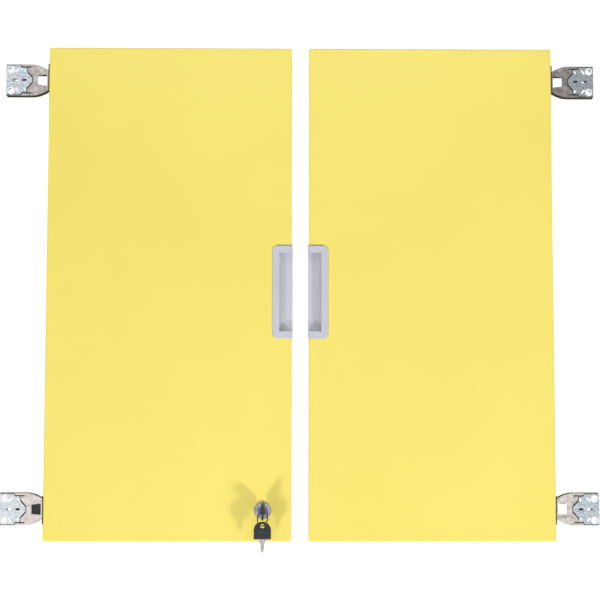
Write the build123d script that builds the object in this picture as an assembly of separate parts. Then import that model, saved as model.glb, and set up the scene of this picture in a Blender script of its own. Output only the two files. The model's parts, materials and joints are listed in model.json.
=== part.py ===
from build123d import *

# Pair of cabinet door leaves with wide-arm concealed hinges, recessed pulls, cam lock and two keys.
#
# Millimetres, +Z up, the doors' front faces look along -Y. Everything is built with z = 0 at the
# leaves' bottom edge, y = 0 on their front faces and x = 0 in the middle of the gap between them,
# and is moved to the centre of the bounding box when it is written. The rest pose has the hinges
# open by 90 degrees: each hinge arm lies in its door's plane, beyond the door's outer edge.
#
# Hinge pieces are drawn for the left door's upper hinge, with x = 0 on the door's outer edge,
# x growing towards the door's middle, y growing backwards and z = 0 on the hinge's centre line.

import os
from math import radians, sin

# Door leaves
LEAF_W = 367.0
LEAF_H = 740.0
LEAF_T = 18.0
GAP = 25.6
CORNER_R = 3.0
FRONT_EDGE_R = 2.0
BACK_EDGE_R = 1.0
OUTER_X = GAP / 2 + LEAF_W
HINGE_FROM_END = 46.0
HINGE_HEIGHTS = {"bottom": HINGE_FROM_END, "top": LEAF_H - HINGE_FROM_END}

# Hinge cup, let into the back of the leaf
CUP_R = 17.5
CUP_WALL = 1.3
CUP_DEPTH = 12.5
CUP_FLOOR = 1.0
CUP_X = 21.5
FLANGE_T = 0.8
FLANGE_R = 19.4
EAR_X = 27.0
EAR_R = 6.2
CUP_SCREW_SPACING = 48.0
CUP_SCREW_R = 1.75
CUP_SCREW_HEAD_R = 3.7
CUP_SCREW_HEAD_T = 2.0
CUP_SCREW_LENGTH = 11.0
PILOT_END_Y = LEAF_T + FLANGE_T - CUP_SCREW_LENGTH

# Hinge link: pivots on the arm's pin and on the cup's pin
ARM_PIN = (-4.5, 26.0)
CUP_PIN = (9.44, 14.0)
LINK_BEND = (8.6, 24.2)
PIN_R = 1.25
PIN_CLEARANCE = 0.05
KNUCKLE_R = 2.2
CUP_LUG_T = 2.3
CUP_LUG_GAP = 0.3
LINK_T = 2.0
LINK_ARM_W = 17.0
LINK_CUP_W = 14.0

# Hinge arm: two side walls, a web over their whole length at the back and a skin over the nose
ARM_T = 1.3
ARM_NOSE_X = -1.9
ARM_END_X = -68.0
ARM_NOSE_HALF_W = 16.0
ARM_HALF_W = 24.0
ARM_STRAIGHT_X = -5.0
ARM_WIDE_X = -30.0
ARM_FACE_Y = 16.6
ARM_WEB_Y = 30.0
WINDOW_START_X = -6.2
WINDOW_END_X = -20.0
WINDOW_START_HALF_W = 8.6
WINDOW_END_HALF_W = 6.9
BACK_WINDOW_END_X = -24.0
BACK_WINDOW_HALF_W = 9.0
LUG_T = 1.4
LUG_END_X = -9.0
SLOT_START_X = -30.0
SLOT_Z = (19.0, 20.8)
PLATE_GAP = 1.2

# Mounting plate, which screws to the cabinet's side panel
PLATE_FACE_Y = 16.0
PLATE_T = 1.8
PLATE_HALF_W = 22.3
PLATE_NOSE_X = -28.8
PLATE_NOSE_HALF_W = 3.2
PLATE_V_X = -37.0
PLATE_V_HALF_W = 12.6
PLATE_SHOULDER_X = -38.0
PLATE_SHOULDER_HALF_W = 18.9
PLATE_WIDE_X = -44.5
PLATE_WALL_X = -46.0
PLATE_WALL_Z = 20.3
PLATE_WALL_T = 1.5
PLATE_TOP_T = 1.5
PLATE_TOP_X = -35.0
PANEL_HOLE_X = -61.0
PANEL_HOLE_SPACING = 32.0
PANEL_HOLE_R = 3.25
ACCESS_R = 6.2
FRONT_SCREW_X = -40.6
REAR_SCREW_X = -63.2
FRONT_SLOT = (-40.6, 7.0, 3.6)
REAR_SLOT = (-54.0, 8.0, 3.6)
SIGHT_SLOT = (-53.4, 10.0, 8.0)
ADJUST_SCREW_R = 2.6
ADJUST_HEAD_R = 4.0
ADJUST_HEAD_T = 2.4
ADJUST_TIP_GAP = 8.0
FAR_BACK_Y = 60.0

# Recessed pull on each leaf's inner edge
PULL_Z = LEAF_H / 2
PULL_H = 140.0
PULL_W = 29.3
PULL_OVERHANG = 1.2
PULL_PROUD = 1.5
PULL_CORNER_R = 8.0
TRAY_W = 26.0
TRAY_H = 132.8
TRAY_DEPTH = 13.0
TRAY_CORNER_R = 4.0
TRAY_CLEARANCE = 0.15
RECESS_W = 18.8
RECESS_H = 118.0
RECESS_Y = 10.8
RECESS_SWEEP_R = 9.8
RIM_BEVEL = 0.9
PULL_SCREW_X = 22.6
PULL_SCREW_SPACING = 90.0
PULL_SCREW_R = 1.6
PULL_SCREW_TIP_Y = 4.0
PULL_SCREW_HEAD_R = 3.4
PULL_SCREW_HEAD_T = 1.8

# Cam lock on the left leaf
LOCK_X = -(GAP / 2 + 42.5)
LOCK_Z = 46.0
BEZEL_R = 12.4
BEZEL_T = 2.2
BARREL_R = 9.3
BARREL_END_Y = 24.0
LOCK_HOLE_R = 9.4
NUT_R = 13.5
NUT_T = 4.0
PLUG_R = 6.5
PLUG_CLEARANCE = 0.06
PLUG_FACE_Y = -2.6
KEYWAY_END_Y = 18.5
TAIL_SIDE = 7.0
CAM_T = 2.2
CAM_GAP = 0.2
CAM_LENGTH = 50.0
CAM_W = 14.0
CAM_SCREW_R = 1.9
CAM_SCREW_HEAD_R = 4.8
CAM_SCREW_HEAD_T = 2.8

# Keys: drawn with the head's length along +Z, the blade below it and the shoulder's end at z = 0
KEY_HEAD_W = 25.4
KEY_HEAD_L = 25.2
KEY_HEAD_T = 2.6
KEY_ARCH_R = KEY_HEAD_W / 2
KEY_HOLE_FROM_TOP = 6.2
KEY_HOLE_R = 3.2
KEY_PANEL_T = 0.5
KEY_SHOULDER_W = 10.0
KEY_SHOULDER_L = 6.0
KEY_BLADE_W = 5.6
KEY_TIP_W = 3.4
KEY_BLADE_L = 13.5
KEY_TIP_L = 6.0
KEY_BLADE_T = 2.0
KEY_TANG_L = 6.0
KEYWAY_CLEARANCE = 0.15
RING_R = 10.0
RING_WIRE_R = 0.75
RING_TURN = 45.0

KEY_1_Y = PLUG_FACE_Y - 0.2
KEY_1_HOLE_Y = KEY_1_Y - KEY_SHOULDER_L - KEY_HEAD_L + KEY_HOLE_FROM_TOP
KEY_2_HOLE_Z = LOCK_Z - 2 * RING_R

# The bounding box's centre, from the ring's front to the adjusting screws' heads, and from the
# hanging key's tip to the leaves' top edge
FRONT_Y = KEY_1_HOLE_Y - RING_R * sin(radians(RING_TURN)) - RING_WIRE_R
REAR_Y = ARM_WEB_Y + ADJUST_HEAD_T
KEY_2_TOP_Z = KEY_2_HOLE_Z + KEY_HOLE_FROM_TOP
LOWEST_Z = KEY_2_TOP_Z - KEY_HEAD_L - KEY_SHOULDER_L - KEY_BLADE_L
MID_Y = (FRONT_Y + REAR_Y) / 2
MID_Z = (LOWEST_Z + LEAF_H) / 2


def block(x, y, z):
    """Box from three (low, high) pairs."""
    size = [pair[1] - pair[0] for pair in (x, y, z)]
    middle = [(pair[0] + pair[1]) / 2 for pair in (x, y, z)]
    return Pos(*middle) * Box(*size)


def rod_y(radius, start, end, x=0.0, z=0.0):
    """Cylinder along Y."""
    return Pos(x, (start + end) / 2, z) * Rot(90, 0, 0) * Cylinder(radius, abs(end - start))


def rod_z(radius, low, high, x=0.0, y=0.0):
    """Cylinder along Z."""
    return Pos(x, y, (low + high) / 2) * Cylinder(radius, high - low)


def prism_y(points, start, end, corner_radii=None):
    """Polygon of (x, z) points, pushed from y = start to y = end, with chosen corners rounded."""
    face = make_face(Polyline(*[(x, 0, z) for x, z in points], close=True))
    solid = Pos(0, start, 0) * extrude(face, end - start, dir=(0, 1, 0))
    for (x, z), radius in (corner_radii or {}).items():
        edges = [e for e in solid.edges().filter_by(Axis.Y) if is_at(e, x, z)]
        solid = fillet(edges, radius)
    return solid


def is_at(edge, x, z):
    """True where an edge along Y stands at (x, z)."""
    middle = edge @ 0.5
    return abs(middle.X - x) < 0.01 and abs(middle.Z - z) < 0.01


def prism_z(points, half_height):
    """Polygon of (x, y) points, pushed equally up and down."""
    face = make_face(Polyline(*points, close=True))
    return extrude(face, half_height, both=True)


def mirrored_in_z(points):
    """Outline given for z > 0, with its mirror image below."""
    return points + [(x, -z) for x, z in reversed(points)]


def cross_recess(y, depth, x, z, radius):
    """Cross-shaped driver recess in a screw head that faces +Y."""
    arm = radius * 0.62
    slot = radius * 0.16
    wide = block((x - arm, x + arm), (y - depth, y + 1), (z - slot, z + slot))
    tall = block((x - slot, x + slot), (y - depth, y + 1), (z - arm, z + arm))
    return wide + tall


def pan_head(radius, thickness, y, x, z):
    """Rounded screw head on y, facing +Y."""
    head = rod_y(radius, y, y + thickness, x, z)
    rim = head.edges().filter_by(GeomType.CIRCLE).sort_by(Axis.Y)[-1]
    return fillet(rim, thickness * 0.45) - cross_recess(y + thickness, thickness * 0.6, x, z, radius)


def cup():
    """Cup with its screw flange and the two lugs that carry the link's pin."""
    body = rod_y(CUP_R, LEAF_T - CUP_DEPTH, LEAF_T, CUP_X)
    flange = rod_y(FLANGE_R, LEAF_T, LEAF_T + FLANGE_T, CUP_X)
    reach = CUP_SCREW_SPACING / 2
    ears = block((EAR_X - EAR_R, EAR_X + EAR_R), (LEAF_T, LEAF_T + FLANGE_T), (-reach, reach))
    for z in (-reach, reach):
        ears += rod_y(EAR_R, LEAF_T, LEAF_T + FLANGE_T, EAR_X, z)
    hollow = rod_y(CUP_R - CUP_WALL, LEAF_T - CUP_DEPTH + CUP_FLOOR, LEAF_T + 5, CUP_X)
    shell = body + flange + ears - hollow
    lug_in = LINK_CUP_W / 2 + CUP_LUG_GAP
    lug_out = lug_in + CUP_LUG_T
    lug_low = LEAF_T - CUP_DEPTH
    for side in (-1, 1):
        z_pair = sorted((side * lug_in, side * lug_out))
        lug = block((5, CUP_PIN[0] + 3.0), (lug_low, LEAF_T - 1), z_pair)
        shell += lug & body
        shell -= rod_y(CUP_SCREW_R, LEAF_T - 1, LEAF_T + 5, EAR_X, side * reach)
    return shell - rod_z(PIN_R, -lug_out, lug_out, *CUP_PIN)


def cup_pin():
    """Pin through the cup's lugs."""
    end = LINK_CUP_W / 2 + CUP_LUG_GAP + CUP_LUG_T
    return rod_z(PIN_R, -end, end, *CUP_PIN)


def cup_screws():
    """Two wood screws that hold the cup."""
    top = LEAF_T + FLANGE_T
    screws = []
    for z in (-CUP_SCREW_SPACING / 2, CUP_SCREW_SPACING / 2):
        shank = rod_y(CUP_SCREW_R, PILOT_END_Y, top, EAR_X, z)
        screws.append(shank + pan_head(CUP_SCREW_HEAD_R, CUP_SCREW_HEAD_T, top, EAR_X, z))
    return Compound(screws)


def link():
    """Gooseneck link from the arm's pin to the cup's pin."""
    shape = strut(ARM_PIN, LINK_BEND, LINK_ARM_W) + strut(LINK_BEND, CUP_PIN, LINK_CUP_W)
    shape += rod_z(LINK_T / 2, -LINK_CUP_W / 2, LINK_CUP_W / 2, *LINK_BEND)
    shape += rod_z(KNUCKLE_R, -LINK_ARM_W / 2, LINK_ARM_W / 2, *ARM_PIN)
    shape += rod_z(KNUCKLE_R, -LINK_CUP_W / 2, LINK_CUP_W / 2, *CUP_PIN)
    for pin in (ARM_PIN, CUP_PIN):
        shape -= rod_z(PIN_R + PIN_CLEARANCE, -LINK_ARM_W, LINK_ARM_W, *pin)
    return shape


def strut(start, end, width):
    """Flat strip of the link, seen edge-on as a line from start to end."""
    run = Vector(*end) - Vector(*start)
    across = Vector(-run.Y, run.X).normalized() * (LINK_T / 2)
    a, b = Vector(*start), Vector(*end)
    return prism_z([a + across, b + across, b - across, a - across], width / 2)


def arm():
    """Pressed arm with a window in its nose, lugs for the link's pin and room for the plate."""
    shell = prism_y(arm_outline(0), ARM_FACE_Y, ARM_WEB_Y)
    skin_back, web_front = ARM_FACE_Y + ARM_T, ARM_WEB_Y - ARM_T
    shell -= prism_y(arm_outline(ARM_T), skin_back, web_front)
    shell -= plate_shape(PLATE_GAP, 0, skin_back + 0.01)
    window = mirrored_in_z([(WINDOW_START_X, WINDOW_START_HALF_W), (WINDOW_END_X, WINDOW_END_HALF_W)])
    shell -= prism_y(window, 0, skin_back + 0.01)
    back_z = (-BACK_WINDOW_HALF_W, BACK_WINDOW_HALF_W)
    shell -= block((BACK_WINDOW_END_X, ARM_NOSE_X + 1), (web_front - 0.01, FAR_BACK_Y), back_z)
    for side in (-1, 1):
        z_pair = sorted((side * BACK_WINDOW_HALF_W, side * (BACK_WINDOW_HALF_W + LUG_T)))
        shell += block((LUG_END_X, ARM_NOSE_X), (skin_back, web_front), z_pair)
        slot_z = sorted(side * z for z in SLOT_Z)
        shell -= block((PLATE_WIDE_X, SLOT_START_X), (0, skin_back + 0.01), slot_z)
        z = side * PANEL_HOLE_SPACING / 2
        shell -= rod_y(ACCESS_R, web_front - 1, FAR_BACK_Y, PANEL_HOLE_X, z)
    shell -= slot_y(SIGHT_SLOT, web_front - 1, FAR_BACK_Y)
    for x in (FRONT_SCREW_X, REAR_SCREW_X):
        shell -= rod_y(ADJUST_SCREW_R, web_front - 1, FAR_BACK_Y, x)
    lug_out = BACK_WINDOW_HALF_W + LUG_T
    return shell - rod_z(PIN_R, -lug_out, lug_out, *ARM_PIN)


def arm_outline(inset):
    """The arm seen along Y; with an inset, its sides move in and its two ends are open."""
    nose, rear = ARM_NOSE_HALF_W - inset, ARM_HALF_W - inset
    front_x, back_x = (5, -90) if inset else (ARM_NOSE_X, ARM_END_X)
    start = (ARM_STRAIGHT_X, 0, nose)
    swell = Spline(start, (ARM_WIDE_X, 0, rear), tangents=[(-1, 0, 0.55), (-1, 0, 0)])
    upper = [(p.X, p.Z) for p in (swell @ (i / 8) for i in range(9))]
    return mirrored_in_z([(front_x, nose)] + upper + [(back_x, rear)])


def arm_pin():
    """Rivet through the arm's lugs."""
    end = BACK_WINDOW_HALF_W + LUG_T
    return rod_z(PIN_R, -end, end, *ARM_PIN)


def plate_shape(grow, start, end):
    """The plate's base seen along Y, grown by a gap, pushed from y = start to y = end."""
    outline = mirrored_in_z([
        (PLATE_NOSE_X, PLATE_NOSE_HALF_W),
        (PLATE_V_X, PLATE_V_HALF_W),
        (PLATE_SHOULDER_X, PLATE_SHOULDER_HALF_W),
        (PLATE_WIDE_X, PLATE_SHOULDER_HALF_W),
        (PLATE_WALL_X, PLATE_HALF_W),
        (ARM_END_X, PLATE_HALF_W),
    ])
    face = make_face(Polyline(*[(x, 0, z) for x, z in outline], close=True))
    if grow:
        face = offset(face, grow, kind=Kind.INTERSECTION)
    return Pos(0, start, 0) * extrude(face, end - start, dir=(0, 1, 0))


def mounting_plate():
    """Folded plate: base against the panel, two walls, and a top that carries the arm."""
    plate = plate_shape(0, PLATE_FACE_Y, PLATE_FACE_Y + PLATE_T)
    top_y = ARM_WEB_Y - ARM_T
    wall_top = PLATE_WALL_Z + PLATE_WALL_T
    inside_y = PLATE_FACE_Y + PLATE_T + 1
    for side in (-1, 1):
        z_pair = sorted((side * PLATE_WALL_Z, side * wall_top))
        plate += block((ARM_END_X, PLATE_WALL_X), (PLATE_FACE_Y, top_y), z_pair)
    plate += block((ARM_END_X, PLATE_TOP_X), (top_y - PLATE_TOP_T, top_y), (-wall_top, wall_top))
    for side in (-1, 1):
        z = side * PANEL_HOLE_SPACING / 2
        plate -= rod_y(PANEL_HOLE_R, 0, inside_y, PANEL_HOLE_X, z)
        plate -= rod_y(ACCESS_R, inside_y, FAR_BACK_Y, PANEL_HOLE_X, z)
    plate -= slot_y(FRONT_SLOT, 0, inside_y)
    plate -= slot_y(REAR_SLOT, 0, inside_y)
    plate -= slot_y(SIGHT_SLOT, inside_y, FAR_BACK_Y)
    for x in (FRONT_SCREW_X, REAR_SCREW_X):
        plate -= rod_y(ADJUST_SCREW_R, inside_y, FAR_BACK_Y, x)
    return plate


def slot_y(slot, start, end):
    """Slot along X, given as its middle's x, its length and its width, cut from y = start to end."""
    x, length, width = slot
    half = (length - width) / 2
    body = block((x - half, x + half), (start, end), (-width / 2, width / 2))
    return body + rod_y(width / 2, start, end, x - half) + rod_y(width / 2, start, end, x + half)


def adjust_screws():
    """Side and depth adjusting screws through the arm's web into the plate."""
    screws = []
    for x in (FRONT_SCREW_X, REAR_SCREW_X):
        shank = rod_y(ADJUST_SCREW_R, PLATE_FACE_Y + ADJUST_TIP_GAP, ARM_WEB_Y, x)
        screws.append(shank + pan_head(ADJUST_HEAD_R, ADJUST_HEAD_T, ARM_WEB_Y, x, 0))
    return Compound(screws)


def leaf():
    """Left leaf with its cup bores, pilot holes and the pocket for the pull."""
    inner_x = -GAP / 2
    slab = block((-OUTER_X, inner_x), (0, LEAF_T), (0, LEAF_H))
    slab = fillet(slab.edges().filter_by(Axis.Y), CORNER_R)
    slab = fillet(slab.faces().sort_by(Axis.Y)[0].edges(), FRONT_EDGE_R)
    slab = fillet(slab.faces().sort_by(Axis.Y)[-1].edges(), BACK_EDGE_R)
    for z in HINGE_HEIGHTS.values():
        slab -= rod_y(CUP_R, LEAF_T - CUP_DEPTH, LEAF_T + 5, CUP_X - OUTER_X, z)
        for side in (-1, 1):
            x = EAR_X - OUTER_X
            hole_z = z + side * CUP_SCREW_SPACING / 2
            slab -= rod_y(CUP_SCREW_R, PILOT_END_Y, LEAF_T + 5, x, hole_z)
    slab -= Pos(inner_x, 0, PULL_Z) * tray_outline(-10, TRAY_W, TRAY_H / 2, -5, TRAY_DEPTH)
    for z in (PULL_Z - PULL_SCREW_SPACING / 2, PULL_Z + PULL_SCREW_SPACING / 2):
        slab -= rod_y(PULL_SCREW_R, 0, LEAF_T + 5, inner_x - PULL_SCREW_X, z)
    return slab


def tray_outline(start, width, half_height, front, back):
    """Block that runs in from the door's edge at x = 0 towards -X, round at its two inner corners."""
    points = [(-start, half_height), (-width, half_height), (-width, -half_height), (-start, -half_height)]
    corners = {points[1]: TRAY_CORNER_R, points[2]: TRAY_CORNER_R}
    return prism_y(points, front, back, corners)


def pull():
    """Left pull: a rim on the door's face and a tray that is open at the door's edge."""
    out, wide, tall = PULL_OVERHANG, -PULL_W, PULL_H / 2
    points = [(out, tall), (wide, tall), (wide, -tall), (out, -tall)]
    corners = {points[1]: PULL_CORNER_R, points[2]: PULL_CORNER_R}
    rim = prism_y(points, -PULL_PROUD, 0, corners)
    rim = chamfer(rim.faces().sort_by(Axis.Y)[0].edges(), RIM_BEVEL)
    tray_high = TRAY_H / 2 - TRAY_CLEARANCE
    tray = tray_outline(-out, TRAY_W - TRAY_CLEARANCE, tray_high, 0, TRAY_DEPTH - TRAY_CLEARANCE)
    sweep_y = RECESS_Y - RECESS_SWEEP_R
    sweep_x = -RECESS_W + RECESS_SWEEP_R
    turn = RECESS_SWEEP_R * sin(radians(45))
    outline = [
        Line((5, -5), (-RECESS_W, -5)),
        Line((-RECESS_W, -5), (-RECESS_W, sweep_y)),
        ThreePointArc((-RECESS_W, sweep_y), (sweep_x - turn, sweep_y + turn), (sweep_x, RECESS_Y)),
        Line((sweep_x, RECESS_Y), (5, RECESS_Y)),
        Line((5, RECESS_Y), (5, -5)),
    ]
    recess = extrude(make_face(outline), RECESS_H / 2, both=True)
    shape = rim + tray - recess
    for side in (-1, 1):
        z = side * PULL_SCREW_SPACING / 2
        shape -= rod_y(PULL_SCREW_R, PULL_SCREW_TIP_Y, LEAF_T, -PULL_SCREW_X, z)
    return Pos(-GAP / 2, 0, PULL_Z) * shape


def pull_screws():
    """Two screws that hold the left pull from behind."""
    screws = []
    for side in (-1, 1):
        z = PULL_Z + side * PULL_SCREW_SPACING / 2
        x = -GAP / 2 - PULL_SCREW_X
        shank = rod_y(PULL_SCREW_R, PULL_SCREW_TIP_Y, LEAF_T, x, z)
        screws.append(shank + pan_head(PULL_SCREW_HEAD_R, PULL_SCREW_HEAD_T, LEAF_T, x, z))
    return Compound(screws)


def at_lock(shape):
    """Move a shape drawn about the lock's axis to the lock."""
    return Pos(LOCK_X, 0, LOCK_Z) * shape


def lock_housing():
    """Barrel with its front bezel and the bore that the plug turns in."""
    bezel = rod_y(BEZEL_R, -BEZEL_T, 0)
    bezel = fillet(bezel.edges().sort_by(Axis.Y)[0], BEZEL_T * 0.6)
    barrel = rod_y(BARREL_R, 0, BARREL_END_Y)
    return bezel + barrel - rod_y(PLUG_R + PLUG_CLEARANCE, -10, BARREL_END_Y + 5)


def lock_nut():
    """Hexagon nut behind the leaf."""
    hexagon = [Vector(NUT_R, 0, 0).rotate(Axis.Y, 60 * i) for i in range(6)]
    nut = prism_y([(p.X, p.Z) for p in hexagon], LEAF_T, LEAF_T + NUT_T)
    return nut - rod_y(BARREL_R, LEAF_T - 5, LEAF_T + NUT_T + 5)


def lock_plug():
    """Turning plug with its keyway, square tail and the cam screw's hole."""
    plug = rod_y(PLUG_R, PLUG_FACE_Y, BARREL_END_Y)
    side = TAIL_SIDE / 2
    tail_end = BARREL_END_Y + CAM_GAP + CAM_T
    plug += block((-side, side), (BARREL_END_Y, tail_end), (-side, side))
    thick = KEY_BLADE_T / 2 + KEYWAY_CLEARANCE
    tall = KEY_BLADE_W / 2 + KEYWAY_CLEARANCE
    plug -= block((-thick, thick), (PLUG_FACE_Y - 1, KEYWAY_END_Y), (-tall, tall))
    return plug - rod_y(CAM_SCREW_R, BARREL_END_Y - 4, tail_end)


def lock_cam():
    """Locking lever, pointing up while the lock is open."""
    front = BARREL_END_Y + CAM_GAP
    half = CAM_W / 2
    cam = block((-half, half), (front, front + CAM_T), (0, CAM_LENGTH - half))
    cam += rod_y(half, front, front + CAM_T)
    cam += rod_y(half, front, front + CAM_T, 0, CAM_LENGTH - half)
    side = TAIL_SIDE / 2
    return cam - block((-side, side), (front - 1, front + CAM_T + 1), (-side, side))


def cam_screw():
    """Screw that holds the cam on the plug's tail."""
    seat = BARREL_END_Y + CAM_GAP + CAM_T
    head = pan_head(CAM_SCREW_HEAD_R, CAM_SCREW_HEAD_T, seat, 0, 0)
    return rod_y(CAM_SCREW_R, BARREL_END_Y - 4, seat) + head


def key_head_outline(inset, length_inset):
    """Key head seen face-on: flat at the shoulder, round at the far end, pushed along Y."""
    low, high = KEY_SHOULDER_L + length_inset, KEY_SHOULDER_L + KEY_HEAD_L - inset
    half = KEY_HEAD_W / 2 - inset
    radius = KEY_ARCH_R - inset
    straight = high - radius
    shape = block((-half, half), (-5, 5), (low, straight)) + rod_y(radius, -5, 5, 0, straight)
    return shape & block((-half, half), (-5, 5), (low, high))


def key_head():
    """Moulded head with its ring hole, raised panels and grip groove."""
    thick = KEY_HEAD_T / 2
    body = key_head_outline(0, 0) & block((-50, 50), (-thick, thick), (-50, 50))
    body = fillet(body.edges().filter_by(lambda e: abs((e @ 0.5).Y) > thick - 0.01), 0.6)
    hole_z = KEY_SHOULDER_L + KEY_HEAD_L - KEY_HOLE_FROM_TOP
    full = thick + KEY_PANEL_T
    panel = block((-8.2, 8.2), (-full, full), (KEY_SHOULDER_L + 2.2, hole_z - KEY_HOLE_R - 1.6))
    panel = fillet(panel.edges().filter_by(Axis.Y), 1.5)
    groove_z = KEY_SHOULDER_L + 8.3
    for side in (-1, 1):
        y_pair = sorted((side * thick, side * (full + 1)))
        panel -= block((-10, 10), y_pair, (groove_z - 0.5, groove_z + 0.5))
    tang = key_tang()
    return body + panel - rod_y(KEY_HOLE_R, -5, 5, 0, hole_z) - tang


def key_tang():
    """Part of the blade that the head is moulded round."""
    half, thick = KEY_SHOULDER_W / 2 - 1.5, KEY_BLADE_T / 2 - 0.3
    return block((-half, half), (-thick, thick), (KEY_SHOULDER_L, KEY_SHOULDER_L + KEY_TANG_L))


def key_blade():
    """Blade with its shoulder, milled side grooves and pointed tip."""
    half, blade, tip = KEY_SHOULDER_W / 2, KEY_BLADE_W / 2, KEY_TIP_W / 2
    end = -KEY_BLADE_L
    points = [(half, KEY_SHOULDER_L), (half, 2.0), (blade, 0)]
    points += [(blade, end + KEY_TIP_L), (tip, end + 1.6), (0.6, end)]
    outline = points + [(-x, z) for x, z in reversed(points)]
    thick = KEY_BLADE_T / 2
    shape = prism_y(outline, -thick, thick)
    for side in (-1, 1):
        y_pair = sorted((side * 0.5, side * 3))
        shape -= block((side * 0.9 - 0.5, side * 0.9 + 0.5), y_pair, (end + 2.4, -0.4))
    return shape + key_tang()


def as_key_1(shape):
    """Key in the lock: the blade points into the door and the head stands on edge."""
    return Pos(LOCK_X, KEY_1_Y, LOCK_Z) * Rot(90, 0, 0) * Rot(0, 0, 90) * shape


def as_key_2(shape):
    """Key that hangs from the ring, blade down."""
    return Pos(LOCK_X, KEY_1_HOLE_Y, KEY_2_TOP_Z - KEY_HEAD_L - KEY_SHOULDER_L) * shape


def key_ring():
    """Wire ring through both heads' holes, turned between their two planes."""
    ring = Rot(0, 0, RING_TURN) * Rot(90, 0, 0) * Torus(RING_R, RING_WIRE_R)
    return Pos(LOCK_X, KEY_1_HOLE_Y, LOCK_Z - RING_R) * ring


HINGE_PIECES = {
    "cup": cup,
    "cup_pin": cup_pin,
    "cup_screws": cup_screws,
    "link": link,
    "arm": arm,
    "arm_pin": arm_pin,
    "mounting_plate": mounting_plate,
    "adjust_screws": adjust_screws,
}


def all_nodes():
    """Every node's name and shape."""
    left = {"leaf": leaf(), "pull": pull(), "pull_screws": pull_screws()}
    for piece, make in HINGE_PIECES.items():
        shape = make()
        for place, z in HINGE_HEIGHTS.items():
            left[f"{place}_{piece}"] = Pos(-OUTER_X, 0, z) * shape
    nodes = {}
    for name, shape in left.items():
        nodes[f"left_{name}"] = shape
        nodes[f"right_{name}"] = mirror(shape, about=Plane.YZ)
    nodes["left_leaf"] -= at_lock(rod_y(LOCK_HOLE_R, -5, LEAF_T + 5))
    for piece in (lock_housing, lock_nut, lock_plug, lock_cam, cam_screw):
        nodes[piece.__name__] = at_lock(piece())
    nodes["key_1_head"] = as_key_1(key_head())
    nodes["key_1_blade"] = as_key_1(key_blade())
    nodes["key_2_head"] = as_key_2(key_head())
    nodes["key_2_blade"] = as_key_2(key_blade())
    nodes["key_ring"] = key_ring()
    return nodes


os.makedirs("parts", exist_ok=True)
for node, solid in all_nodes().items():
    export_step(Pos(0, -MID_Y, -MID_Z) * solid, f"parts/{node}.step")
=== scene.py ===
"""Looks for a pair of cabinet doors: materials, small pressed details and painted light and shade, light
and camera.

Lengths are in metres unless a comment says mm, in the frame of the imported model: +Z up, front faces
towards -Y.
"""

import json
from collections import namedtuple
from math import cos, pi, radians, sin

import bmesh
import bpy
from mathutils import Matrix, Vector


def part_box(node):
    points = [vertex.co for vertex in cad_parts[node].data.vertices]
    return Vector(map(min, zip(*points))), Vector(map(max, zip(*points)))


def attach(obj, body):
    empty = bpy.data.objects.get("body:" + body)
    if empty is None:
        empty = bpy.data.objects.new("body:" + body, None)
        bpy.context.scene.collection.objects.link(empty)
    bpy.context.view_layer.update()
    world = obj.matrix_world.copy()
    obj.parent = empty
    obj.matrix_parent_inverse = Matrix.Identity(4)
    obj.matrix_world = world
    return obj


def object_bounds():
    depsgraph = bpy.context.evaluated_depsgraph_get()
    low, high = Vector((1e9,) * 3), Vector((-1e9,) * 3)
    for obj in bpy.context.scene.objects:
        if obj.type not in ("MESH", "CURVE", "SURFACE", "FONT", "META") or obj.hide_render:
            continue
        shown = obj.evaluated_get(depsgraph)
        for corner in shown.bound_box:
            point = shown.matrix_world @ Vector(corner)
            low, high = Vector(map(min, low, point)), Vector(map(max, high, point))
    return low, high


MM = 0.001

# Camera: a long lens from slightly below, turned a little to the right
CAMERA_PLACE = (-0.0211, -1.9, -0.1335)
CAMERA_PITCH = 3.84
CAMERA_YAW = -0.62
CAMERA_ROLL = -0.07
LENS = 76.46
SENSOR = 36.0
CLIP_END = 50.0

# Studio: white world, pale floor and a wall in front of the doors, behind the camera, which are seen
# as white but light the scene less
SEEN_WHITE = 1.06
WORLD_LIGHT = (0.215, 0.203, 0.10)
WALL_LIGHT = 0.22
FRONT_WALL_Y = -3.2
FRONT_WALL_HALF_X = 4.0
FRONT_WALL_HALF_Z = 2.5
FLOOR_HALF = 30.0
FLOOR_DROP = 3.2
LIGHT_COLOUR = (0.95, 0.97, 1.15)

# Lights: direction from what they face, then distance, size and power
LOW_RIGHT_LIGHT = ((1.22, -1.0, -1.05), 3.2, 0.34, 48.5)
LOW_LEFT_LIGHT = ((-0.80, -1.0, -1.25), 3.2, 0.34, 48.5)
TOP_LIGHT = ((0.0, -1.0, 1.0), 1.6, 1.6, 12.5)
BACK_LEFT_LIGHT = ((-1.0, 0.6, 0.4), 2.5, 1.6, 42.0)
BACK_RIGHT_LIGHT = ((1.0, 0.6, 0.4), 2.5, 1.6, 42.0)

# Where colours change, in mm: the foil ends before the leaf's back, and painted shade inside an arm
# begins behind its front and ends before its back
FOIL_END = (0.8, 0.7)
WALL_SHADE_BEGIN = (0.4, 1.2)
WALL_SHADE_END = (1.0, 0.4)

# Painted light and shade on each hinge: how much lighter or darker its plate and its arm are drawn
PLATE_PAINTED_LIGHT = {"left_top": 1.0, "right_top": 0.58, "left_bottom": 1.35, "right_bottom": 0.95}
ARM_PAINTED_LIGHT = {"left_top": 0.92, "right_top": 0.52, "left_bottom": 1.5, "right_bottom": 1.25}

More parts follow.
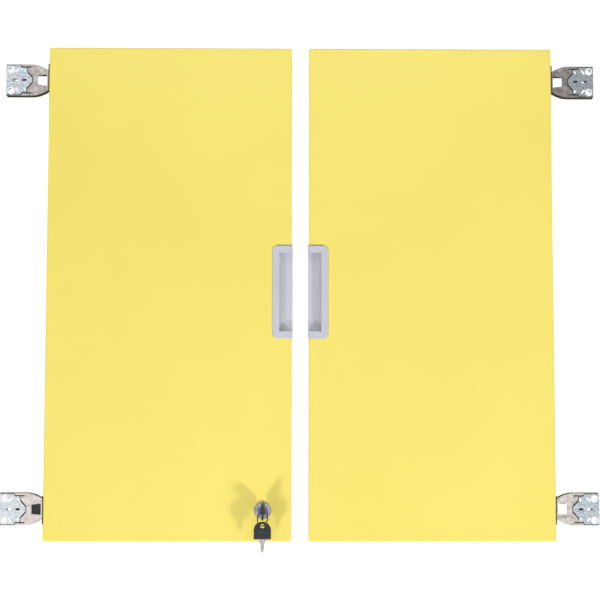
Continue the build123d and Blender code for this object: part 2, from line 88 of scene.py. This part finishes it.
# Details on each mounting plate, in mm: along from its far end, up or down from its middle height
COUNTERSINK_ALONG = 7.0
COUNTERSINK_UP = 16.0
# Countersink rings, ribs and bosses are drawn near-white as painted highlights
COUNTERSINK_RING = [(3.3, 0.05), (3.4, -0.30), (5.0, -0.35), (5.6, 0.05)]
Boss = namedtuple("Boss", "along up length width slant height inset look slot")
BOSSES = {
    "rib": Boss(16.0, 15.0, 8.0, 3.2, 50.0, 0.5, 0.7, "bright_zinc", "zinc_steel"),
    "boss": Boss(28.5, 14.8, 5.5, 2.8, 50.0, 0.5, 0.7, "bright_zinc", "zinc_steel"),
    # Dark pads along the V slits: painted shade where the slits look dark
    "slit_shade": Boss(35.6, 8.3, 12.0, 1.9, -49.0, 0.15, 0.1, "dark_steel", "nickel_steel"),
}
# Dark leaf behind the slits, in mm: painted shade where the inside of the hinge is seen
SHADE_LEAF_ALONG = (22.0, 40.5)
SHADE_LEAF_DEPTH = (2.0, 2.4)
SHADE_LEAF_HALF_Z = 21.0

# Painted shade block in one arm's window, in mm from the arm's nose, its front and its middle height
WINDOW_SHADE_ALONG = (18.6, 3.8)
WINDOW_SHADE_DEPTH = (1.4, 1.8)
WINDOW_SHADE_HALF_Z = 8.8

# Dark strip at the door's outer edge by each hinge, painted shade, in mm past the edge and behind the front
EDGE_SHADE_PAST = (-0.2, 1.4)
EDGE_SHADE_DEPTH = (1.0, 2.8)
EDGE_SHADE_HALF_Z = 21.0

# Painted shadow strip above a pull's flange, in mm from its outer and inner ends, the door's front and the
# pull's top
GAP_ENDS = (7.0, 0.5)
GAP_DEPTH = (-0.05, 0.5)
GAP_UP = (-0.2, 0.9)

# Dark rings on the lock's bezel, the outer one painted shade at its rim, and the panel on the hanging key,
# in mm
BEZEL_RINGS = {"bezel_groove": (7.4, 8.6), "bezel_rim_shade": (11.3, 12.3)}
BEZEL_DEPTH = (0.2, -0.08)
PANEL_UP = 8.5
PANEL_HALF_X = 9.4
PANEL_HALF_Z = 5.2
PANEL_HEIGHT = 0.6
PANEL_INSET = 1.2

# Shape of small pieces: steps round a ring and a round end, and a boss's shoulder as shares of
# its height and inset
RING_STEPS = 40
END_STEPS = 8
SHOULDER_HEIGHT = 0.7
SHOULDER_INSET = 0.4

# Rounded edges, in mm and degrees
STEEL_EDGE = 0.25
PLASTIC_EDGE = 0.3
TURNED_EDGE = 0.15
EDGE_ANGLE = 38.0

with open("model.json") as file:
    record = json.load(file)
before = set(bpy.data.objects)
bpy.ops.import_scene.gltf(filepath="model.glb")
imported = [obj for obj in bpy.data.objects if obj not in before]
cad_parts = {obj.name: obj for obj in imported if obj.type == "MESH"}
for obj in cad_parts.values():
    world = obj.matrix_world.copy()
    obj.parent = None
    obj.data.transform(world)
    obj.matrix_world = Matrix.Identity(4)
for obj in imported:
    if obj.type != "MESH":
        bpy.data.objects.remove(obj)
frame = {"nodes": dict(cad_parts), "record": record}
nodes = frame["nodes"]
cad_low, cad_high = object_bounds()


def named(*endings):
    """CAD nodes whose names end in one of the given words."""
    return [nodes[name] for name in sorted(nodes) if name.endswith(endings)]


class Shader:
    """A material's node tree, with short calls for the nodes that the materials below share."""

    def __init__(self, name, colour, roughness, metallic=0.0):
        self.material = bpy.data.materials.new(name)
        self.material.use_nodes = True
        self.tree = self.material.node_tree
        self.surface = self.tree.nodes["Principled BSDF"]
        self.set("Base Color", (*colour, 1.0))
        self.set("Roughness", roughness)
        self.set("Metallic", metallic)
        self.place = self.node("ShaderNodeTexCoord").outputs["Object"]

    def set(self, socket, value):
        self.surface.inputs[socket].default_value = value

    def node(self, kind, **values):
        made = self.tree.nodes.new(kind)
        for name, value in values.items():
            setattr(made, name, value)
        return made

    def link(self, source, target):
        self.tree.links.new(source, target)

    def stretched(self, scale):
        """The object's coordinates, scaled by axis."""
        mapping = self.node("ShaderNodeMapping")
        mapping.inputs["Scale"].default_value = scale
        self.link(self.place, mapping.inputs["Vector"])
        return mapping.outputs["Vector"]

    def depth(self):
        """The object's Y coordinate."""
        split = self.node("ShaderNodeSeparateXYZ")
        self.link(self.place, split.inputs["Vector"])
        return split.outputs["Y"]

    def noise(self, scale, detail=3.0, rough=0.5, stretch=(1, 1, 1)):
        made = self.node("ShaderNodeTexNoise")
        made.inputs["Scale"].default_value = scale
        made.inputs["Detail"].default_value = detail
        made.inputs["Roughness"].default_value = rough
        self.link(self.stretched(stretch), made.inputs["Vector"])
        return made.outputs["Fac"]

    def rings(self, box, scale):
        """Fine circles about the line along Y through a box's middle."""
        middle = (box[0] + box[1]) / 2
        moved = self.node("ShaderNodeVectorMath", operation="SUBTRACT")
        moved.inputs[1].default_value = middle
        self.link(self.place, moved.inputs[0])
        flat = self.node("ShaderNodeVectorMath", operation="MULTIPLY")
        flat.inputs[1].default_value = (1, 0, 1)
        self.link(moved.outputs["Vector"], flat.inputs[0])
        wave = self.node("ShaderNodeTexWave", wave_type="RINGS", rings_direction="SPHERICAL")
        wave.inputs["Scale"].default_value = scale
        self.link(flat.outputs["Vector"], wave.inputs["Vector"])
        return wave.outputs["Fac"]

    def cells(self, scale, stretch=(1, 1, 1)):
        made = self.node("ShaderNodeTexVoronoi")
        made.inputs["Scale"].default_value = scale
        self.link(self.stretched(stretch), made.inputs["Vector"])
        return made.outputs["Color"]

    def ramp(self, factor, stops):
        made = self.node("ShaderNodeValToRGB")
        ramp = made.color_ramp
        while len(ramp.elements) < len(stops):
            ramp.elements.new(0.5)
        for element, (position, colour) in zip(ramp.elements, stops):
            element.position = position
            element.color = (*colour, 1.0)
        self.link(factor, made.inputs["Fac"])
        return made.outputs["Color"]

    def between(self, factor, low, high, from_low=0.3, from_high=0.7):
        """A number that runs from low to high with the factor."""
        made = self.node("ShaderNodeMapRange")
        values = {"From Min": from_low, "From Max": from_high, "To Min": low, "To Max": high}
        for name, value in values.items():
            made.inputs[name].default_value = value
        self.link(factor, made.inputs["Value"])
        return made.outputs["Result"]

    def mix(self, factor, first, second):
        made = self.node("ShaderNodeMix", data_type="RGBA")
        self.link(factor, made.inputs["Factor"])
        for socket, value in (("A", first), ("B", second)):
            target = [s for s in made.inputs if s.name == socket and s.type == "RGBA"][0]
            if isinstance(value, tuple):
                target.default_value = (*value, 1.0)
            else:
                self.link(value, target)
        return [s for s in made.outputs if s.type == "RGBA"][0]

    def bump(self, height, distance, strength=1.0, under=None):
        made = self.node("ShaderNodeBump")
        made.inputs["Distance"].default_value = distance
        made.inputs["Strength"].default_value = strength
        self.link(height, made.inputs["Height"])
        if under is not None:
            self.link(under, made.inputs["Normal"])
        self.link(made.outputs["Normal"], self.surface.inputs["Normal"])
        return made.outputs["Normal"]

    def colour_from(self, source):
        self.link(source, self.surface.inputs["Base Color"])

    def roughness_from(self, source):
        self.link(source, self.surface.inputs["Roughness"])


def lit_or_shaded(stops, painted_light):
    """Colour stops made lighter or darker, as painted light and shade."""
    return [(position, tuple(min(1.0, part * painted_light) for part in colour)) for position, colour in stops]


def door_foil():
    """Satin yellow foil over the front and edges, white melamine on the back."""
    shader = Shader("door_foil", (0.86, 0.72, 0.10), 0.42)
    shader.set("Specular IOR Level", 0.45)
    shader.set("Coat Weight", 0.12)
    shader.set("Coat Roughness", 0.3)
    drift = shader.noise(3.0, 4.0)
    yellow = shader.ramp(drift, [(0.3, (0.845, 0.704, 0.124)), (0.7, (0.885, 0.743, 0.147))])
    fleck = shader.noise(260.0, 2.0)
    white = shader.ramp(fleck, [(0.35, (0.78, 0.775, 0.75)), (0.6, (0.82, 0.815, 0.79))])
    back_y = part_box("left_leaf")[1].y
    begin, end = (back_y - before * MM for before in FOIL_END)
    on_back = shader.between(shader.depth(), 0.0, 1.0, begin, end)
    shader.colour_from(shader.mix(on_back, yellow, white))
    shader.roughness_from(shader.between(shader.noise(11.0, 5.0), 0.38, 0.46))
    peel = shader.bump(shader.noise(900.0, 2.0), 0.00003, 0.35)
    shader.bump(shader.noise(140.0, 2.0), 0.00006, 0.2, peel)
    return shader.material


def pull_plastic():
    """Light grey moulded plastic with a fine spark-eroded grain."""
    shader = Shader("pull_plastic", (0.535, 0.535, 0.575), 0.5)
    tint = shader.ramp(shader.noise(25.0, 3.0), [(0.3, (0.52, 0.52, 0.56)), (0.7, (0.55, 0.55, 0.59))])
    shader.colour_from(tint)
    shader.roughness_from(shader.between(shader.noise(60.0, 4.0), 0.42, 0.55))
    shader.bump(shader.noise(2600.0, 2.0), 0.00004, 0.5)
    return shader.material


def nickel_steel(painted_light=1.0):
    """Nickel-plated pressed steel: warm grey with brushed patches, painted shade on the faces inside an
    arm, and drawn lighter or darker per hinge as painted light.
    """
    shader = Shader("nickel_steel", (0.50, 0.46, 0.42), 0.32, 1.0)
    cloud = shader.noise(120.0, 6.0, 0.7)
    stops = [(0.28, (0.30, 0.27, 0.26)), (0.5, (0.57, 0.53, 0.505)), (0.72, (0.86, 0.82, 0.79))]
    face = shader.ramp(cloud, lit_or_shaded(stops, painted_light))
    # Painted shade on the faces inside an arm's channel, which get little light
    wall_shade = shader.ramp(cloud, [(0.3, (0.07, 0.065, 0.065)), (0.7, (0.16, 0.15, 0.15))])
    depth = shader.depth()
    front, back = (corner.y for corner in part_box("left_top_arm"))
    behind = shader.between(depth, 0.0, 1.0, *(front + past * MM for past in WALL_SHADE_BEGIN))
    before = shader.between(depth, 1.0, 0.0, *(back - short * MM for short in WALL_SHADE_END))
    shader.colour_from(shader.mix(before, face, shader.mix(behind, face, wall_shade)))
    streak = shader.noise(500.0, 3.0, 0.6, (0.12, 1, 1))
    shader.roughness_from(shader.between(streak, 0.24, 0.42))
    shader.bump(streak, 0.00003, 0.5)
    return shader.material


def zinc_steel(painted_light=1.0):
    """Blue-bright zinc plating with a mottled spangle, drawn lighter or darker per hinge as painted light
    and shade.
    """
    shader = Shader("zinc_steel", (0.62, 0.70, 0.78), 0.3, 1.0)
    spangle = shader.cells(420.0)
    cloud = shader.noise(330.0, 6.0, 0.75)
    darks = [(0.32, (0.22, 0.27, 0.31)), (0.45, (0.52, 0.60, 0.66))]
    lights = [(0.6, (0.76, 0.83, 0.88)), (0.72, (0.97, 0.99, 1.0))]
    blue = shader.ramp(cloud, lit_or_shaded(darks + lights, painted_light))
    bright = shader.ramp(cloud, lit_or_shaded([(0.3, (0.93, 0.96, 1.0)), (0.7, (0.97, 0.98, 1.0))], painted_light))
    pick = shader.between(spangle, 0.0, 0.4, 0.45, 0.95)
    shader.colour_from(shader.mix(pick, blue, bright))
    shader.roughness_from(shader.between(cloud, 0.2, 0.42))
    shader.bump(spangle, 0.00004, 0.5)
    return shader.material


def fastener_steel():
    """Zinc-plated turned steel."""
    shader = Shader("fastener_steel", (0.62, 0.62, 0.60), 0.3, 1.0)
    cloud = shader.noise(400.0, 4.0)
    shader.colour_from(shader.ramp(cloud, [(0.3, (0.52, 0.52, 0.50)), (0.7, (0.72, 0.72, 0.70))]))
    shader.roughness_from(shader.between(cloud, 0.22, 0.4))
    shader.bump(cloud, 0.00002, 0.4)
    return shader.material


def lock_chrome():
    """Polished plating with hairline wear and a faint violet cast."""
    shader = Shader("lock_chrome", (0.62, 0.60, 0.68), 0.14, 1.0)
    cloud = shader.noise(160.0, 4.0)
    shader.colour_from(shader.ramp(cloud, [(0.3, (0.34, 0.32, 0.40)), (0.7, (0.62, 0.60, 0.66))]))
    hairline = shader.noise(900.0, 3.0, 0.6, (1, 1, 0.15))
    shader.roughness_from(shader.between(hairline, 0.08, 0.22))
    shader.bump(hairline, 0.00001, 0.3)
    return shader.material


def plug_chrome_shaded():
    """The plug's turned face with rings from turning: violet-grey plating drawn dark as painted shade of
    the recessed plug under the key.
    """
    shader = Shader("plug_chrome_shaded", (0.30, 0.27, 0.36), 0.25, 1.0)
    cloud = shader.noise(400.0, 4.0)
    shader.colour_from(shader.ramp(cloud, [(0.3, (0.13, 0.115, 0.17)), (0.7, (0.32, 0.30, 0.39))]))
    shader.roughness_from(shader.between(cloud, 0.2, 0.38))
    shader.bump(shader.rings(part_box("lock_plug"), 2600.0), 0.00004, 0.4)
    return shader.material


def key_plastic():
    """Black moulded plastic, rubbed shiny in places."""
    shader = Shader("key_plastic", (0.018, 0.018, 0.022), 0.3)
    rub = shader.noise(120.0, 4.0)
    shader.colour_from(shader.ramp(rub, [(0.3, (0.010, 0.011, 0.017)), (0.7, (0.024, 0.027, 0.040))]))
    shader.roughness_from(shader.between(rub, 0.22, 0.42))
    shader.bump(shader.noise(2500.0, 2.0), 0.00003, 0.4)
    return shader.material


def key_steel():
    """Nickel-plated stamped steel with fine drawn lines."""
    shader = Shader("key_steel", (0.48, 0.47, 0.45), 0.22, 1.0)
    line = shader.noise(700.0, 3.0, 0.6, (1, 1, 0.1))
    shader.colour_from(shader.ramp(line, [(0.3, (0.42, 0.41, 0.40)), (0.7, (0.72, 0.71, 0.69))]))
    shader.roughness_from(shader.between(line, 0.15, 0.32))
    shader.bump(line, 0.00001, 0.4)
    return shader.material


def dark_steel():
    """Near-black steel, oily in places: the key ring's own colour, and painted shade on the dark strips,
    pads, leaves and block set in shadowed gaps.
    """
    shader = Shader("dark_steel", (0.05, 0.048, 0.05), 0.35, 0.8)
    oil = shader.noise(300.0, 4.0)
    shader.colour_from(shader.ramp(oil, [(0.3, (0.03, 0.03, 0.032)), (0.7, (0.08, 0.075, 0.08))]))
    shader.roughness_from(shader.between(oil, 0.25, 0.5))
    shader.bump(oil, 0.00002, 0.4)
    return shader.material


def bright_zinc():
    """Near-white zinc: painted highlight on the countersinks, ribs and bosses of the pressed plate."""
    shader = Shader("bright_zinc", (0.92, 0.94, 0.97), 0.45, 0.25)
    rub = shader.noise(350.0, 4.0)
    shader.colour_from(shader.ramp(rub, [(0.3, (0.84, 0.88, 0.93)), (0.7, (0.97, 0.98, 1.0))]))
    shader.roughness_from(shader.between(rub, 0.35, 0.55))
    shader.bump(rub, 0.00002, 0.4)
    return shader.material


def studio_white(name, unseen):
    """Matte white that glows: fully where the camera sees it, and weakly where it only lights the scene."""
    shader = Shader(name, (0.9, 0.9, 0.9), 0.9)
    tint = shader.ramp(shader.noise(2.0), [(0.3, (0.89, 0.89, 0.89)), (0.7, (0.91, 0.91, 0.91))])
    shader.colour_from(tint)
    seen = shader.node("ShaderNodeLightPath").outputs["Is Camera Ray"]
    shader.set("Emission Color", (1, 1, 1, 1))
    shader.link(shader.between(seen, unseen, 1.0, 0.0, 1.0), shader.surface.inputs["Emission Strength"])
    return shader.material


MAKERS = {
    "door_foil": door_foil,
    "pull_plastic": pull_plastic,
    "nickel_steel": nickel_steel,
    "zinc_steel": zinc_steel,
    "fastener_steel": fastener_steel,
    "lock_chrome": lock_chrome,
    "key_plastic": key_plastic,
    "key_steel": key_steel,
    "plug_chrome_shaded": plug_chrome_shaded,
    "dark_steel": dark_steel,
    "bright_zinc": bright_zinc,
}
materials = {name: make() for name, make in MAKERS.items()}


def give_materials():
    """Every CAD node gets its slot's material, and a few get a look of their own."""
    for entry in frame["record"]["subparts"]:
        thing = nodes[entry["node"]]
        thing.data.materials.clear()
        thing.data.materials.append(materials[entry["material_slot"]])
    # Plug and cam drawn dark: painted shade of the recessed plug
    for name in ("lock_plug", "lock_cam"):
        nodes[name].data.materials[0] = materials["plug_chrome_shaded"]
    nodes["key_ring"].data.materials[0] = materials["dark_steel"]
    # Lighter and darker copies of the plating on each hinge's plate and arm: painted light and shade
    for hinge, painted_light in PLATE_PAINTED_LIGHT.items():
        nodes[f"{hinge}_mounting_plate"].data.materials[0] = zinc_steel(painted_light)
    for hinge, painted_light in ARM_PAINTED_LIGHT.items():
        nodes[f"{hinge}_arm"].data.materials[0] = nickel_steel(painted_light)


def soften(things, width):
    """A small rounded edge that catches the light, as pressed and moulded pieces have."""
    for thing in things:
        bevel = thing.modifiers.new("edge", "BEVEL")
        bevel.width = width * MM
        bevel.segments = 2
        bevel.limit_method = "ANGLE"
        bevel.angle_limit = radians(EDGE_ANGLE)
        bevel.harden_normals = False
        bevel.use_clamp_overlap = True


def make_camera():
    """Camera at the photographed view."""
    data = bpy.data.cameras.new("camera")
    data.lens = LENS
    data.sensor_width = SENSOR
    data.clip_end = CLIP_END
    camera = bpy.data.objects.new("camera", data)
    bpy.context.scene.collection.objects.link(camera)
    turn = Matrix.Rotation(radians(CAMERA_YAW), 4, "Z") @ Matrix.Rotation(radians(CAMERA_PITCH), 4, "X")
    turn = turn @ Matrix.Rotation(radians(CAMERA_ROLL), 4, "Y") @ Matrix.Rotation(pi / 2, 4, "X")
    camera.matrix_world = Matrix.Translation(CAMERA_PLACE) @ turn
    bpy.context.scene.camera = camera


def make_light(name, target, direction, distance, size, power):
    """Soft square light that faces a point, set off from it along a direction."""
    data = bpy.data.lights.new(name, "AREA")
    data.shape = "SQUARE"
    data.size = size
    data.energy = power
    data.color = LIGHT_COLOUR
    light = bpy.data.objects.new(name, data)
    away = Vector(direction).normalized()
    light.location = target + away * distance
    light.rotation_euler = away.to_track_quat("Z", "Y").to_euler()
    bpy.context.scene.collection.objects.link(light)


def stage_plane(name, corners, material):
    """Flat piece of the studio."""
    mesh = bpy.data.meshes.new(name)
    mesh.from_pydata(corners, [], [(0, 1, 2, 3)])
    mesh.materials.append(material)
    plane = bpy.data.objects.new(name, mesh)
    bpy.context.scene.collection.objects.link(plane)


def make_world():
    """World that is seen as white, with a weaker and warmer light of its own."""
    world = bpy.data.worlds.new("studio")
    world.use_nodes = True
    tree = world.node_tree
    background = tree.nodes["Background"]
    seen = tree.nodes.new("ShaderNodeLightPath")
    colour = tree.nodes.new("ShaderNodeMix")
    colour.data_type = "RGBA"
    lit, white = [socket for socket in colour.inputs if socket.type == "RGBA"]
    lit.default_value = (*WORLD_LIGHT, 1)
    white.default_value = (SEEN_WHITE, SEEN_WHITE, SEEN_WHITE, 1)
    tree.links.new(seen.outputs["Is Camera Ray"], colour.inputs["Factor"])
    mixed = [socket for socket in colour.outputs if socket.type == "RGBA"][0]
    tree.links.new(mixed, background.inputs["Color"])
    bpy.context.scene.world = world
    bpy.context.scene.view_settings.view_transform = "Standard"


def make_studio():
    """White world, floor and front wall, three lights in front and two behind."""
    make_world()
    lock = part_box("lock_plug")[0]
    top = Vector((0, cad_low.y, cad_high.z))
    middle = (cad_low + cad_high) / 2
    make_light("light_top", top, *TOP_LIGHT)
    make_light("light_back_left", middle, *BACK_LEFT_LIGHT)
    make_light("light_back_right", middle, *BACK_RIGHT_LIGHT)
    make_light("light_right", lock, *LOW_RIGHT_LIGHT)
    make_light("light_left", lock, *LOW_LEFT_LIGHT)
    far, low = FLOOR_HALF, cad_low.z - FLOOR_DROP
    floor = [(-far, -far, low), (far, -far, low), (far, far, low), (-far, far, low)]
    stage_plane("floor", floor, studio_white("floor_white", 0.0))
    wide, tall, y = FRONT_WALL_HALF_X, FRONT_WALL_HALF_Z, FRONT_WALL_Y
    wall = [(-wide, y, -tall), (-wide, y, tall), (wide, y, tall), (wide, y, -tall)]
    stage_plane("front_wall", wall, studio_white("wall_white", WALL_LIGHT))


def finish_piece(bm, name, look, body):
    """Turn a bmesh into a piece that rides on a body."""
    bmesh.ops.recalc_face_normals(bm, faces=bm.faces)
    mesh = bpy.data.meshes.new(name)
    bm.to_mesh(mesh)
    bm.free()
    mesh.materials.append(materials[look])
    piece = bpy.data.objects.new(name, mesh)
    bpy.context.scene.collection.objects.link(piece)
    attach(piece, body)


def bridge(bm, first, second):
    """Faces between two loops of as many points."""
    for i in range(len(first)):
        j = (i + 1) % len(first)
        bm.faces.new((first[i], first[j], second[j], second[i]))


def lathe(name, profile, place, look, body):
    """Ring from (radius, y) points in mm, turned about a line along Y through a place."""
    bm = bmesh.new()
    loops = []
    for radius, y in profile:
        around = [2 * pi * i / RING_STEPS for i in range(RING_STEPS)]
        points = [Vector((radius * cos(angle), y, radius * sin(angle))) * MM for angle in around]
        loops.append([bm.verts.new(place + point) for point in points])
    for first, second in zip(loops, loops[1:] + loops[:1]):
        bridge(bm, first, second)
    finish_piece(bm, name, look, body)


def pad(name, outline, base_y, height, inset, look, body):
    """Low boss: an outline of (x, z) points that narrows towards its top."""
    bm = bmesh.new()
    middle = sum(outline, Vector((0, 0))) / len(outline)
    levels = [(0.0, 0.0), (height * SHOULDER_HEIGHT, inset * SHOULDER_INSET), (height, inset)]
    loops = []
    for rise, shrink in levels:
        loop = []
        for point in outline:
            away = point - middle
            spot = middle + away * (1 - shrink / away.length)
            loop.append(bm.verts.new((spot.x, base_y - rise, spot.y)))
        loops.append(loop)
    for low_loop, high_loop in zip(loops, loops[1:]):
        bridge(bm, low_loop, high_loop)
    bm.faces.new(loops[-1])
    bm.faces.new(list(reversed(loops[0])))
    finish_piece(bm, name, look, body)


def stadium(x, z, length, width, turn):
    """Outline of (x, z) points with round ends, turned about its middle."""
    half, radius = (length - width) / 2, width / 2
    points = []
    for side in (1, -1):
        for i in range(END_STEPS + 1):
            angle = pi * i / END_STEPS - pi / 2
            points.append(Vector((side * (half + radius * cos(angle)), side * radius * sin(angle))))
    spin = Matrix.Rotation(turn, 2)
    return [spin @ point + Vector((x, z)) for point in points]


def block(name, corner, other, look, slot, body):
    """Plain block between two corners."""
    bm = bmesh.new()
    bmesh.ops.create_cube(bm, size=1.0)
    low = Vector([min(pair) for pair in zip(corner, other)])
    high = Vector([max(pair) for pair in zip(corner, other)])
    size, middle = high - low, (low + high) / 2
    for vert in bm.verts:
        vert.co = Vector([vert.co[i] * size[i] + middle[i] for i in range(3)])
    finish_piece(bm, name, look, body)


def hinges():
    """Each hinge's name and sign of X towards its door, and its plate's far end, mid height and front."""
    for plate in named("_mounting_plate"):
        label = plate.name.replace("_mounting_plate", "")
        towards = 1 if label.startswith("left") else -1
        low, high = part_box(plate.name)
        far_x = low.x if towards > 0 else high.x
        yield label, towards, far_x, (low.z + high.z) / 2, low.y


def plate_details():
    """Countersinks and pressed bosses with painted highlights, and painted shade along the slits and in a
    dark leaf behind them, on each hinge.
    """
    for label, towards, far_x, middle_z, face_y in hinges():
        for up in (-1, 1):
            x, z = far_x + towards * COUNTERSINK_ALONG * MM, middle_z + up * COUNTERSINK_UP * MM
            name = f"{label}_countersink_{up + 1}"
            hole = Vector((x, face_y, z))
            lathe(name, COUNTERSINK_RING, hole, "bright_zinc", "hinge_arms")
            for kind, boss in BOSSES.items():
                x, z = far_x + towards * boss.along * MM, middle_z + up * boss.up * MM
                turn = towards * up * radians(boss.slant)
                outline = stadium(x, z, boss.length * MM, boss.width * MM, turn)
                height, inset = boss.height * MM, boss.inset * MM
                name = f"{label}_{kind}_{up + 1}"
                pad(name, outline, face_y, height, inset, boss.look, "hinge_arms")
        corners = [(far_x + towards * along * MM, face_y + depth * MM, middle_z + half * MM)
                   for along, depth, half in zip(SHADE_LEAF_ALONG, SHADE_LEAF_DEPTH, (-SHADE_LEAF_HALF_Z, SHADE_LEAF_HALF_Z))]
        block(f"{label}_leaf_spring", *corners, "dark_steel", "nickel_steel", "hinge_arms")


def window_shade():
    """Dark block in the window of the bottom left arm: painted shade where the hinge's inside is seen."""
    low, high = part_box("left_bottom_arm")
    middle_z = (low.z + high.z) / 2
    corners = [(high.x - along * MM, low.y + depth * MM, middle_z + half * MM)
               for along, depth, half in zip(WINDOW_SHADE_ALONG, WINDOW_SHADE_DEPTH, (-WINDOW_SHADE_HALF_Z, WINDOW_SHADE_HALF_Z))]
    block("left_bottom_window_cover", *corners, "dark_steel", "nickel_steel", "hinge_arms")


def lock_details():
    """Dark rings on the lock's bezel, the outer one painted shade at its rim, and a raised panel on the
    hanging key's head.
    """
    low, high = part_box("lock_housing")
    middle = (low + high) / 2
    face = Vector((middle.x, low.y, middle.z))
    inside, outside = BEZEL_DEPTH
    for name, (inner, outer) in BEZEL_RINGS.items():
        ring = [(inner, inside), (inner, outside), (outer, outside), (outer, inside)]
        lathe(name, ring, face, "plug_chrome_shaded", "left_door")
    low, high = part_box("key_2_head")
    x, z = (low.x + high.x) / 2, low.z + PANEL_UP * MM
    signs = ((-1, -1), (1, -1), (1, 1), (-1, 1))
    panel = [Vector((x + a * PANEL_HALF_X * MM, z + b * PANEL_HALF_Z * MM)) for a, b in signs]
    height, inset = PANEL_HEIGHT * MM, PANEL_INSET * MM
    pad("key_2_panel", panel, low.y, height, inset, "key_plastic", "key_2")


def pull_details():
    """Narrow dark strip above each pull's flange, for the shadow in the gap there."""
    for side, towards in (("left", 1), ("right", -1)):
        low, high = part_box(f"{side}_pull")
        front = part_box(f"{side}_leaf")[0].y
        outer, inner = (low.x, high.x) if towards > 0 else (high.x, low.x)
        ends = (outer + towards * GAP_ENDS[0] * MM, inner - towards * GAP_ENDS[1] * MM)
        corners = [(x, front + depth * MM, high.z + up * MM)
                   for x, depth, up in zip(ends, GAP_DEPTH, GAP_UP)]
        block(f"{side}_pull_gap", *corners, "dark_steel", "pull_plastic", f"{side}_door")


def edge_details():
    """Dark strip at each hinge beside the door's outer edge: painted shade seen as a line there."""
    for label, towards, _, middle_z, _ in hinges():
        side = "left" if towards > 0 else "right"
        low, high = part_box(f"{side}_leaf")
        edge_x = low.x if towards > 0 else high.x
        corners = [(edge_x - towards * past * MM, low.y + depth * MM, middle_z + half * MM)
                   for past, depth, half in zip(EDGE_SHADE_PAST, EDGE_SHADE_DEPTH, (-EDGE_SHADE_HALF_Z, EDGE_SHADE_HALF_Z))]
        block(f"{label}_cup_lip", *corners, "dark_steel", "nickel_steel", f"{side}_door")


make_camera()
make_studio()
give_materials()
plate_details()
window_shade()
lock_details()
pull_details()
edge_details()
soften(named("_arm", "_mounting_plate", "_link"), STEEL_EDGE)
soften(named("_pull", "key_1_head", "key_2_head"), PLASTIC_EDGE)
soften(named("lock_housing", "lock_plug", "lock_nut", "_cup", "lock_cam"), TURNED_EDGE)
